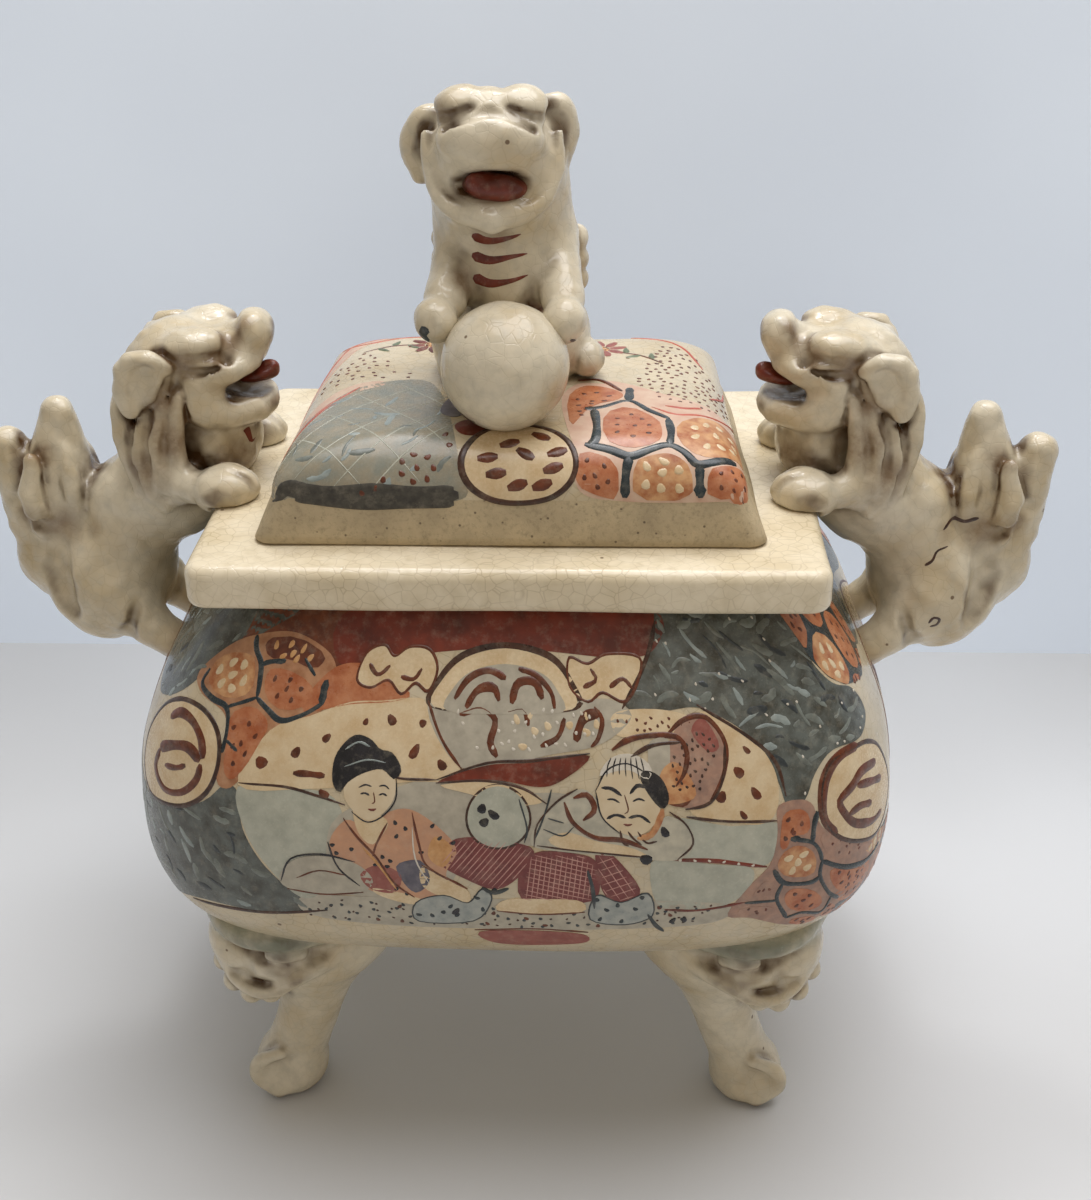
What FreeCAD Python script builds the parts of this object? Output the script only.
import FreeCAD, Part
import os
from math import atan2, cos, degrees, hypot, pi, radians, sin, sqrt

# Four-footed rectangular koro (incense burner) in crackle-glazed earthenware: a pillow-shaped
# bowl under a thick square rim, two climbing guardian lions as handles and a lift-off lid
# with a seated guardian lion and ball as its finial.
# Millimetres. +Z is up, the front faces -Y, and the feet stand on z = 0 with the bowl's
# centre line on the Z axis.

os.makedirs("parts", exist_ok=True)

# ---------------------------------------------------------------- vessel
bowl_floor_level = 47.0      # underside of the bowl above the table
bowl_height = 87.9           # underside of the bowl to underside of the rim
belly_level = 81.0           # height of the bowl's widest section
belly_half_width = 86.0
belly_half_depth = 72.0
neck_half_width = 59.0
neck_half_depth = 47.0
base_half_width = 59.0
base_half_depth = 47.0
shoulder_fullness = 2.0      # exponent of the curve from belly to neck
underside_fullness = 2.8     # exponent of the curve from belly to base
belly_squareness = 3.8       # exponent of the plan curve at the belly
end_squareness = 5.0         # and at the neck and the base
bowl_wall = 6.0
bowl_floor_thickness = 8.0

rim_width = 131.5
rim_depth = 106.0
rim_thickness = 9.5
rim_corner_radius = 4.0
rim_edge_radius = 2.2
mouth_half_width = 47.0
mouth_half_depth = 35.0
mouth_corner_radius = 6.0

# ---------------------------------------------------------------- feet
foot_mask_width = 42.0       # lion mask at the top of the foot
foot_mask_depth = 32.0
foot_mask_height = 30.0
foot_mask_drop = 0.5         # mask's middle below the bowl's underside
foot_inset_x = 10.5          # mask's middle inside the bowl base's edge
foot_inset_y = 5.0
ankle_level = 25.0
ankle_radius = 6.6
paw_height = 16.0
paw_width = 17.0
paw_depth = 19.0
paw_spread_x = 6.5           # paw's middle outside the mask's middle
paw_sole_depth = 2.2         # how much of the paw is flattened to stand on
foot_knee_radius = 12.5      # leg inside the mask
foot_calf_radius = 9.9
foot_calf_drop = 12.0        # calf section below the mask's middle

# ---------------------------------------------------------------- lid
lid_width = 107.0
lid_depth = 83.0
lid_corner_radius = 4.0
lid_corner_growth = 11.0     # radius the corners gain from the band to the crown
lid_seat_gap = 0.2           # lid above the rim
lid_band_height = 9.5
lid_band_lean_x = 4.4        # how far the band leans in at the sides
lid_band_lean_y = 1.4        # and at front and back
lid_dome_height = 11.4
lid_dome_inset_x = 15.0      # band's edge to the flat of the crown
lid_dome_inset_y = 13.0
lid_crown_thickness = 6.0
lid_rim_width = 11.0         # width of the lid's foot ring
flange_wall = 3.8
flange_inner_radius = 2.6
flange_depth = 6.5
flange_clearance = 0.8       # flange to mouth, all round

# ---------------------------------------------------------------- handle lions
lion_stand_off = 15.0        # rim's edge to the middle of the shoulders
lion_half_thickness = 13.5
lion_shoulder_drop = 1.5     # middle of the shoulders below the rim's top
lion_shoulder_radius = 12.5
lion_haunch_out = 15.5       # middle of the haunch outside the shoulders
lion_haunch_drop = 25.0      # and below them
lion_haunch_radius = 14.5
lion_barrel_radius = 12.0
lion_barrel_half_thickness = 12.0
lion_barrel_bow = 3.0        # back's bow away from the line of shoulder and haunch
lion_neck_radius = 9.5
lion_nape_radius = 7.6
lion_clearance = 1.2         # muzzle and forepaws to the path of the lid
lion_head_rise = 30.0        # middle of the skull above the shoulders
lion_head_length = 24.0
lion_head_width = 28.0
lion_head_height = 19.0
lion_muzzle_length = 18.0
lion_muzzle_width = 21.0
lion_muzzle_height = 13.5
lion_muzzle_rise = 2.5       # muzzle's middle above the skull's
lion_jaw_width = 17.6
lion_jaw_height = 9.0
lion_jaw_drop = 12.5         # jaw's middle below the skull's
lion_cheek_length = 17.2
lion_cheek_width = 23.5
lion_cheek_height = 20.0
lion_tongue_length = 14.0
lion_tongue_width = 8.0
lion_tongue_thickness = 3.2
lion_tongue_corner_radius = 3.6
lion_ear_length = 19.0
lion_ear_width = 12.0
lion_ear_thickness = 5.0
lion_ear_setback = 8.6       # ear's middle behind the skull's
lion_ear_pitch = -14.0       # degrees, its tip hanging outward
forepaw_spread = 17.5        # forepaw's middle from the lion's middle plane
forepaw_length = 14.0
forepaw_width = 12.0
forepaw_height = 10.0
foreleg_radius = 5.8
foreleg_root_spread = 8.1
forearm_reach = 10.0         # forearm's bend inward of the shoulder's middle
forearm_spread = 14.9
forearm_rise = 3.5           # and above the rim
wrist_radius = 4.4
paw_press = 0.4              # paws pressed down onto the rim
hindleg_spread = 10.5
thigh_spread = 8.4
knee_drop = 1.0
hind_foot_drop = 32.0        # hind foot below the rim's underside
hind_foot_radius = 5.4
thigh_radius = 8.0
tail_half_thickness = 9.0
tail_root_radius = 11.0
tail_root_drop = 8.7         # tail's root below the middle of the haunch
tail_root_rise = 9.0         # its thick part above the split of the two lobes
tail_inner_tip_out = 6.5     # tips of the tail's two lobes from the haunch
tail_inner_tip_rise = 45.0
tail_outer_tip_out = 22.0
tail_outer_tip_rise = 35.5
tail_lobe_radius = 5.3
tail_inner_half_thickness = 6.8
tail_outer_half_thickness = 6.3

# ---------------------------------------------------------------- finial lion and ball
finial_offset = -1.5         # the seated body's middle, to the left of the lid's
finial_head_offset = -2.0    # and the head's to the left of the body's
finial_setback = 5.0         # middle of the seated body behind the lid's middle
finial_body_half_width = 15.5
finial_body_half_depth = 14.0
finial_body_height = 44.0
finial_chest_radius = 13.5
finial_throat_radius = 12.2
finial_head_rise = 49.5      # middle of the head above the lid's crown
finial_head_forward = 11.0   # and in front of the body's middle
finial_head_width = 31.0
finial_head_depth = 29.0
finial_head_height = 31.0
finial_muzzle_width = 24.0
finial_muzzle_height = 13.0
finial_muzzle_length = 14.0
finial_muzzle_rise = 2.0
finial_muzzle_setback = 3.5  # muzzle's middle behind the front of the skull
finial_ear_length = 16.0
finial_ear_width = 9.0
finial_ear_thickness = 6.0
finial_ear_rise = 3.0
finial_ear_pitch = -10.0     # degrees, its tip hanging outward
finial_tongue_width = 13.0
finial_tongue_thickness = 5.0
finial_tongue_drop = 6.0     # tongue's middle below the head's
finial_haunch_half_width = 8.9
finial_haunch_half_depth = 12.6
finial_haunch_half_height = 10.5
finial_haunch_spread = 9.0
finial_hind_paw_radius = 4.6
finial_hind_paw_half_length = 6.6
finial_hind_paw_rise = 3.7   # its middle above the lid's crown
finial_right_paw_spread = 16.0   # hind paws from the body's middle; the left is tucked in
finial_left_paw_spread = 12.4
finial_hind_paw_forward = 3.0
finial_tail_height = 30.0
finial_tail_width = 14.0
finial_tail_thickness = 9.0
ball_radius = 13.3
ball_offset = -1.0
ball_forward = 29.5          # ball's middle in front of the seated body's middle
ball_press = 1.3             # ball bedded into the crown
finial_paw_rise = 9.0        # forepaws above the ball's middle
finial_paw_setback = 3.5     # and behind it
finial_paw_radius = 5.0
finial_paw_half_length = 6.7
finial_paw_press = 0.3       # forepaws' middles inside the ball's side
finial_foreleg_radius = 5.8
finial_elbow_radius = 6.4
finial_elbow_inset = 4.3     # elbow inside the body's side
finial_elbow_rise = 2.7      # and above the top of the ball
finial_wrist_radius = 4.6

# ---------------------------------------------------------------- derived levels
rim_underside = bowl_floor_level + bowl_height
rim_top = rim_underside + rim_thickness
rim_edge = rim_width / 2
lid_foot = rim_top + lid_seat_gap
lid_band_top = lid_foot + lid_band_height
lid_crown = lid_band_top + lid_dome_height
overlap = 3.0                # how far a luted piece is laid into its neighbour before trimming


def vector(x, y, z):
    return FreeCAD.Vector(x, y, z)


def ellipsoid(middle, half_sizes, pitch=0.0):
    # pitch turns it about Y, in degrees; its seam is kept off the planes of symmetry
    seam_turn = 37.0 + pitch / 3
    matrix = FreeCAD.Matrix()
    matrix.rotateZ(radians(seam_turn))
    matrix.scale(*half_sizes)
    matrix.rotateY(radians(pitch))
    matrix.move(vector(*middle))
    return Part.makeSphere(1.0).transformGeometry(matrix)


def spindle(start, finish, half_width, half_depth):
    # ellipsoid in the plane y = start's y, whose long axis runs from start to finish
    run_x = finish[0] - start[0]
    run_z = finish[2] - start[2]
    middle = ((start[0] + finish[0]) / 2, start[1], (start[2] + finish[2]) / 2)
    return ellipsoid(middle, (half_width, half_depth, hypot(run_x, run_z) / 2),
                     pitch=degrees(atan2(run_x, run_z)))


def superellipse(half_x, half_y, level, squareness):
    # closed plan curve |x/a|^n + |y/b|^n = 1 as one smooth edge
    count = 40
    points = []
    for step in range(count):
        angle = 2 * pi * (step + 0.5) / count
        across = (abs(cos(angle)) / half_x) ** squareness
        along = (abs(sin(angle)) / half_y) ** squareness
        reach = (across + along) ** (-1 / squareness)
        points.append(vector(reach * cos(angle), reach * sin(angle), level))
    curve = Part.BSplineCurve()
    curve.interpolate(points, PeriodicFlag=True)
    return Part.Wire(curve.toShape())


def rounded_rectangle(half_x, half_y, radius, level):
    # plan outline of four straight sides and four corner arcs
    inner_x = half_x - radius
    inner_y = half_y - radius
    edges = []
    for quarter, (side_x, side_y) in enumerate(((1, 1), (-1, 1), (-1, -1), (1, -1))):
        centre = (side_x * inner_x, side_y * inner_y)
        ends = []
        for turn in (0.0, 0.5, 1.0):
            angle = (quarter + turn) * pi / 2
            ends.append(vector(centre[0] + radius * cos(angle), centre[1] + radius * sin(angle),
                               level))
        edges.append(Part.Arc(*ends).toShape())
    outline = []
    for index, arc in enumerate(edges):
        following = edges[(index + 1) % 4]
        outline.append(arc)
        outline.append(Part.LineSegment(arc.Vertexes[1].Point,
                                        following.Vertexes[0].Point).toShape())
    return Part.Wire(outline)


def loft(sections):
    return Part.makeLoft(sections, True, False)


def tube(stations):
    # round limb through (middle, radius) stations, with sections square to its path
    sections = []
    last = len(stations) - 1
    for index, (middle, radius) in enumerate(stations):
        before = vector(*stations[max(index - 1, 0)][0])
        after = vector(*stations[min(index + 1, last)][0])
        ring = Part.Circle(vector(*middle), after.sub(before), radius)
        sections.append(Part.Wire(ring.toShape()))
    return loft(sections)


def join(pieces):
    return pieces[0].multiFuse(pieces[1:]).removeSplitter()


def trim(piece, neighbours):
    # piece cut back to the faces of its neighbours, keeping its main solid
    rest = piece.cut(neighbours)
    return max(rest.Solids, key=lambda solid: solid.Volume)


def mirrored(piece, plane_x=0.0):
    return piece.mirror(vector(plane_x, 0, 0), vector(1, 0, 0))


def mirrored_depth(piece):
    return piece.mirror(vector(0, 0, 0), vector(0, 1, 0))


def prism(half_x, half_y, radius, underside, thickness):
    outline = rounded_rectangle(half_x, half_y, radius, underside)
    return Part.Face(outline).extrude(vector(0, 0, thickness))


# ---------------------------------------------------------------- bowl and rim
def bowl_half_sizes(level):
    # half width, half depth and plan squareness of the bowl's outside at a level
    if level >= belly_level:
        share = (level - belly_level) / (rim_underside - belly_level)
        end_width, end_depth, power = neck_half_width, neck_half_depth, shoulder_fullness
    else:
        share = (belly_level - level) / (belly_level - bowl_floor_level)
        end_width, end_depth, power = base_half_width, base_half_depth, underside_fullness
    swell = 1 - share ** power
    half_width = end_width + (belly_half_width - end_width) * swell
    half_depth = end_depth + (belly_half_depth - end_depth) * swell
    squareness = end_squareness + (belly_squareness - end_squareness) * swell
    return half_width, half_depth, squareness


def bowl_form(inset, low):
    # solid inside the bowl's outside by inset, from a level to the rim
    steps = 5
    levels = [low + (belly_level - low) * step / steps for step in range(steps)]
    levels += [belly_level + (rim_underside - belly_level) * step / steps
               for step in range(steps + 1)]
    sections = []
    for level in levels:
        half_width, half_depth, squareness = bowl_half_sizes(level)
        sections.append(superellipse(half_width - inset, half_depth - inset, level, squareness))
    return loft(sections)


bowl_outside = bowl_form(0.0, bowl_floor_level)
bowl = bowl_outside.cut(bowl_form(bowl_wall, bowl_floor_level + bowl_floor_thickness))

rim_block = prism(rim_edge, rim_depth / 2, rim_corner_radius, rim_underside, rim_thickness)
flat_edges = [edge for edge in rim_block.Edges
              if abs(edge.tangentAt(edge.FirstParameter).z) < 0.1]
rim_block = rim_block.makeFillet(rim_edge_radius, flat_edges)
rim = rim_block.cut(prism(mouth_half_width, mouth_half_depth, mouth_corner_radius,
                          rim_underside, rim_thickness))

# ---------------------------------------------------------------- feet
foot_x = base_half_width - foot_inset_x
foot_y = base_half_depth - foot_inset_y


def make_foot():
    # cabriole foot with a lion mask at the knee, standing at +X and +Y
    mask_z = bowl_floor_level - foot_mask_drop
    mask = ellipsoid((foot_x, foot_y, mask_z),
                     (foot_mask_width / 2, foot_mask_depth / 2, foot_mask_height / 2))
    paw_x = foot_x + paw_spread_x
    paw_z = paw_height / 2 - paw_sole_depth
    leg = tube([
        ((foot_x, foot_y, mask_z), foot_knee_radius),
        ((foot_x, foot_y, mask_z - foot_calf_drop), foot_calf_radius),
        (((foot_x + paw_x) / 2, foot_y, ankle_level), ankle_radius),
        ((paw_x, foot_y, paw_z), ankle_radius),
    ])
    paw = ellipsoid((paw_x, foot_y, paw_z), (paw_width / 2, paw_depth / 2, paw_height / 2))
    reach = foot_mask_width + paw_width
    table = Part.makeBox(2 * reach, 2 * reach, paw_height,
                         vector(foot_x - reach, foot_y - reach, -paw_height))
    return trim(join([mask, leg, paw]), [table, bowl_outside])


foot_back_right = make_foot()
foot_back_left = mirrored(foot_back_right)
foot_front_right = mirrored_depth(foot_back_right)
foot_front_left = mirrored(foot_front_right)

# ---------------------------------------------------------------- lid
def dome_drawn_in(share):
    # part of its whole inset by which the dome has drawn in at a share of its height
    return 1 - sqrt(1 - share ** 2)


def lid_form(inset, crown_level):
    # leaning band under a domed top, inside the lid's outside by inset
    half_width = lid_width / 2 - inset
    half_depth = lid_depth / 2 - inset
    waist_width = half_width - lid_band_lean_x
    waist_depth = half_depth - lid_band_lean_y
    radius = lid_corner_radius
    band = Part.makeLoft([
        rounded_rectangle(half_width, half_depth, radius, lid_foot),
        rounded_rectangle(waist_width, waist_depth, radius, lid_band_top),
    ], True, True)
    rings = []
    for share in (0.0, 0.35, 0.62, 0.82, 0.95, 1.0):
        drawn_in = dome_drawn_in(share)
        rings.append(rounded_rectangle(waist_width - drawn_in * lid_dome_inset_x,
                                       waist_depth - drawn_in * lid_dome_inset_y,
                                       radius + drawn_in * lid_corner_growth,
                                       lid_band_top + (crown_level - lid_band_top) * share))
    return join([band, loft(rings)])


lid_outside = lid_form(0.0, lid_crown)
lid_shell = lid_outside.cut(lid_form(lid_rim_width, lid_crown - lid_crown_thickness))

flange_half_width = mouth_half_width - flange_clearance
flange_half_depth = mouth_half_depth - flange_clearance
flange_radius = mouth_corner_radius - flange_clearance
flange_foot = lid_foot - flange_depth
lid_flange = prism(flange_half_width, flange_half_depth, flange_radius, flange_foot,
                   flange_depth).cut(
    prism(flange_half_width - flange_wall, flange_half_depth - flange_wall,
          flange_inner_radius, flange_foot, flange_depth))

# ---------------------------------------------------------------- handle lions (right-hand one)
lid_path = lid_width / 2 + lion_clearance
shoulder_x = rim_edge + lion_stand_off
shoulder_z = rim_top - lion_shoulder_drop
haunch_x = shoulder_x + lion_haunch_out
haunch_z = shoulder_z - lion_haunch_drop
muzzle_x = lid_path + lion_muzzle_length / 2
head_x = muzzle_x + lion_head_length / 2 - overlap
head_z = shoulder_z + lion_head_rise
muzzle_z = head_z + lion_muzzle_rise
jaw_z = head_z - lion_jaw_drop
mouth_z = (muzzle_z - lion_muzzle_height / 2 + jaw_z + lion_jaw_height / 2) / 2
hind_foot_z = rim_underside - hind_foot_drop
hind_foot_x = bowl_half_sizes(hind_foot_z)[0] - overlap


def make_trunk():
    thickness = lion_half_thickness
    radius = lion_shoulder_radius
    shoulders = ellipsoid((shoulder_x, 0, shoulder_z), (radius, thickness, radius))
    barrel = spindle((shoulder_x + lion_barrel_bow, 0, shoulder_z + lion_shoulder_radius),
                     (haunch_x + lion_barrel_bow, 0, haunch_z - lion_haunch_radius),
                     lion_barrel_radius, lion_barrel_half_thickness)
    haunches = ellipsoid((haunch_x, 0, haunch_z),
                         (lion_haunch_radius, thickness, lion_haunch_radius))
    neck = tube([
        ((shoulder_x, 0, shoulder_z), lion_neck_radius),
        (((shoulder_x + head_x) / 2 + overlap / 2, 0, (shoulder_z + head_z) / 2),
         lion_neck_radius),
        ((head_x, 0, head_z), lion_nape_radius),
    ])
    return join([shoulders, barrel, haunches, neck])


def make_head():
    skull = ellipsoid((head_x, 0, head_z),
                      (lion_head_length / 2, lion_head_width / 2, lion_head_height / 2))
    muzzle = ellipsoid((muzzle_x, 0, muzzle_z),
                       (lion_muzzle_length / 2, lion_muzzle_width / 2, lion_muzzle_height / 2))
    jaw_length = lion_muzzle_length + overlap
    jaw = ellipsoid((lid_path + jaw_length / 2, 0, jaw_z),
                    (jaw_length / 2, lion_jaw_width / 2, lion_jaw_height / 2))
    return trim(join([skull, muzzle, jaw, jaw_hinge()]), [trunk])


def jaw_hinge():
    # cheeks that carry the lower jaw
    return ellipsoid((head_x, 0, (head_z + jaw_z) / 2),
                     (lion_cheek_length / 2, lion_cheek_width / 2, lion_cheek_height / 2))


def make_ear():
    ear = ellipsoid((head_x + lion_ear_setback, lion_head_width / 2,
                     head_z - lion_ear_length / 2),
                    (lion_ear_width / 2, lion_ear_thickness / 2, lion_ear_length / 2),
                    pitch=lion_ear_pitch)
    return trim(ear, [head, trunk])


def make_foreleg():
    paw = (lid_path + forepaw_length / 2, forepaw_spread, rim_top + forepaw_height / 2)
    leg = tube([
        ((shoulder_x, foreleg_root_spread, shoulder_z), foreleg_radius),
        ((shoulder_x - forearm_reach, forearm_spread, rim_top + forearm_rise), foreleg_radius),
        (paw, wrist_radius),
    ])
    foot = ellipsoid(paw, (forepaw_length / 2, forepaw_width / 2, forepaw_height / 2 + paw_press))
    return trim(join([leg, foot]), [trunk, head, rim])


def make_hindleg():
    return tube([
        ((haunch_x - overlap, thigh_spread, haunch_z), thigh_radius),
        (((hind_foot_x + haunch_x) / 2, hindleg_spread,
          (hind_foot_z + haunch_z) / 2 - knee_drop),
         (thigh_radius + hind_foot_radius) / 2),
        ((hind_foot_x, hindleg_spread, hind_foot_z), hind_foot_radius),
    ])


def make_tongue():
    # flat tongue lying between the muzzle and the lower jaw
    half_length = lion_tongue_length / 2
    flat = prism(half_length, lion_tongue_width / 2, lion_tongue_corner_radius,
                 mouth_z - lion_tongue_thickness / 2, lion_tongue_thickness)
    flat.translate(vector(lid_path + half_length, 0, 0))
    return trim(flat, [head, trunk])


def make_tail():
    inner_tip = (haunch_x + tail_inner_tip_out, 0, haunch_z + tail_inner_tip_rise)
    outer_tip = (haunch_x + tail_outer_tip_out, 0, haunch_z + tail_outer_tip_rise)
    split_x = (inner_tip[0] + outer_tip[0]) / 2
    split_z = haunch_z + tail_outer_tip_rise / 2
    root = spindle((haunch_x + overlap, 0, haunch_z - tail_root_drop),
                   (split_x, 0, split_z + tail_root_rise), tail_root_radius,
                   tail_half_thickness)
    inner_lobe = spindle((split_x - overlap, 0, split_z), inner_tip, tail_lobe_radius,
                         tail_inner_half_thickness)
    outer_lobe = spindle((split_x + overlap, 0, split_z - overlap), outer_tip, tail_lobe_radius,
                         tail_outer_half_thickness)
    return trim(join([root, inner_lobe, outer_lobe]), [trunk])


trunk = make_trunk()
head = make_head()
ear_back = make_ear()
foreleg_back = make_foreleg()
hindleg_back = make_hindleg()
hindleg_front = mirrored_depth(hindleg_back)
tail = trim(make_tail(), [hindleg_back, hindleg_front])

right_lion = {
    "trunk": trunk,
    "head": head,
    "tongue": make_tongue(),
    "ear_back": ear_back,
    "ear_front": mirrored_depth(ear_back),
    "foreleg_back": foreleg_back,
    "foreleg_front": mirrored_depth(foreleg_back),
    "tail": tail,
}

# ---------------------------------------------------------------- finial
body_x = finial_offset
body_y = finial_setback
ball_y = body_y - ball_forward
head_middle = (body_x + finial_head_offset, body_y - finial_head_forward,
               lid_crown + finial_head_rise)


def lid_level_at(y):
    # level of the lid's outside on its middle plane
    crown_half_depth = lid_depth / 2 - lid_band_lean_y - lid_dome_inset_y
    drawn_in = max(0.0, abs(y) - crown_half_depth) / lid_dome_inset_y
    return lid_band_top + lid_dome_height * sqrt(1 - drawn_in ** 2)


ball_z = lid_level_at(ball_y) + ball_radius - ball_press
ball = trim(Part.makeSphere(ball_radius, vector(ball_offset, ball_y, ball_z)), [lid_outside])


def make_finial_trunk():
    seat = lid_crown + finial_body_height / 2 - overlap
    body = ellipsoid((body_x, body_y, seat),
                     (finial_body_half_width, finial_body_half_depth, finial_body_height / 2))
    chest = tube([
        ((body_x, body_y, seat), finial_chest_radius),
        ((body_x, body_y - overlap, (seat + head_middle[2]) / 2), finial_chest_radius),
        ((head_middle[0], head_middle[1] + overlap, head_middle[2]), finial_throat_radius),
    ])
    return trim(join([body, chest]), [lid_outside, ball])


def make_finial_head():
    skull = ellipsoid(head_middle,
                      (finial_head_width / 2, finial_head_depth / 2, finial_head_height / 2))
    muzzle = ellipsoid((head_middle[0], face_y + finial_muzzle_setback,
                        head_middle[2] + finial_muzzle_rise),
                       (finial_muzzle_width / 2, finial_muzzle_length / 2,
                        finial_muzzle_height / 2))
    return trim(join([skull, muzzle]), [finial_trunk])


def make_finial_ear():
    ear = ellipsoid((head_middle[0] + finial_head_width / 2, head_middle[1] + overlap,
                     head_middle[2] + finial_ear_rise),
                    (finial_ear_thickness / 2, finial_ear_width / 2, finial_ear_length / 2),
                    pitch=finial_ear_pitch)
    return trim(ear, [finial_head, finial_trunk])


def make_finial_hindleg(paw_spread):
    haunch = ellipsoid((body_x + finial_haunch_spread, body_y + overlap,
                        lid_crown + finial_haunch_half_height - overlap),
                       (finial_haunch_half_width, finial_haunch_half_depth,
                        finial_haunch_half_height))
    paw = ellipsoid((body_x + paw_spread, body_y - finial_hind_paw_forward,
                     lid_crown + finial_hind_paw_rise),
                    (finial_hind_paw_radius, finial_hind_paw_half_length,
                     finial_hind_paw_radius))
    return trim(join([haunch, paw]), [lid_outside, ball, finial_trunk])


def make_finial_foreleg():
    paw = (ball_offset + ball_radius - finial_paw_press, ball_y + finial_paw_setback,
           ball_z + finial_paw_rise)
    elbow = (body_x + finial_body_half_width - finial_elbow_inset, body_y - overlap,
             ball_z + ball_radius + finial_elbow_rise)
    leg = tube([
        (elbow, finial_elbow_radius),
        (((elbow[0] + paw[0]) / 2, (elbow[1] + paw[1]) / 2, (elbow[2] + paw[2]) / 2),
         finial_foreleg_radius),
        (paw, finial_wrist_radius),
    ])
    foot = ellipsoid(paw, (finial_paw_radius, finial_paw_half_length, finial_paw_radius))
    return trim(join([leg, foot]), [ball, finial_trunk, hindleg_right])


face_y = head_middle[1] - finial_head_depth / 2
finial_trunk = make_finial_trunk()
finial_head = make_finial_head()
finial_tongue = trim(ellipsoid((head_middle[0], face_y + overlap,
                                head_middle[2] - finial_tongue_drop),
                               (finial_tongue_width / 2, finial_muzzle_length / 2,
                                finial_tongue_thickness / 2)),
                     [finial_head, finial_trunk])
ear_right = make_finial_ear()
hindleg_right = make_finial_hindleg(finial_right_paw_spread)
hindleg_left = trim(mirrored(make_finial_hindleg(finial_left_paw_spread), body_x), [ball])
foreleg_right = make_finial_foreleg()
foreleg_left = trim(mirrored(foreleg_right, ball_offset), [finial_trunk, hindleg_left])
finial_tail = trim(
    ellipsoid((body_x, body_y + finial_body_half_depth,
               lid_crown + finial_tail_height / 2 - overlap),
              (finial_tail_width / 2, finial_tail_thickness / 2, finial_tail_height / 2)),
    [lid_outside, finial_trunk, hindleg_right, hindleg_left])

# ---------------------------------------------------------------- files
nodes = {
    "bowl": bowl,
    "rim": rim,
    "foot_front_left": foot_front_left,
    "foot_front_right": foot_front_right,
    "foot_back_left": foot_back_left,
    "foot_back_right": foot_back_right,
    "lid_shell": lid_shell,
    "lid_flange": lid_flange,
    "finial_ball": ball,
    "finial_trunk": finial_trunk,
    "finial_head": finial_head,
    "finial_tongue": finial_tongue,
    "finial_ear_right": ear_right,
    "finial_ear_left": mirrored(ear_right, head_middle[0]),
    "finial_foreleg_right": foreleg_right,
    "finial_foreleg_left": foreleg_left,
    "finial_hindleg_right": hindleg_right,
    "finial_hindleg_left": hindleg_left,
    "finial_tail": finial_tail,
}
for name, piece in right_lion.items():
    nodes["right_lion_" + name] = piece
    nodes["left_lion_" + name] = mirrored(piece)
for name, leg in (("hindleg_back", hindleg_back), ("hindleg_front", hindleg_front)):
    nodes["right_lion_" + name] = trim(leg, [trunk, bowl_outside])
    nodes["left_lion_" + name] = trim(mirrored(leg), [mirrored(trunk), bowl_outside])

for name, piece in nodes.items():
    if len(piece.Solids) != 1 or not piece.isValid():
        print("check", name, len(piece.Solids), piece.isValid())
    piece.Solids[0].exportStep("parts/" + name + ".step")
print(len(nodes), "pieces written")
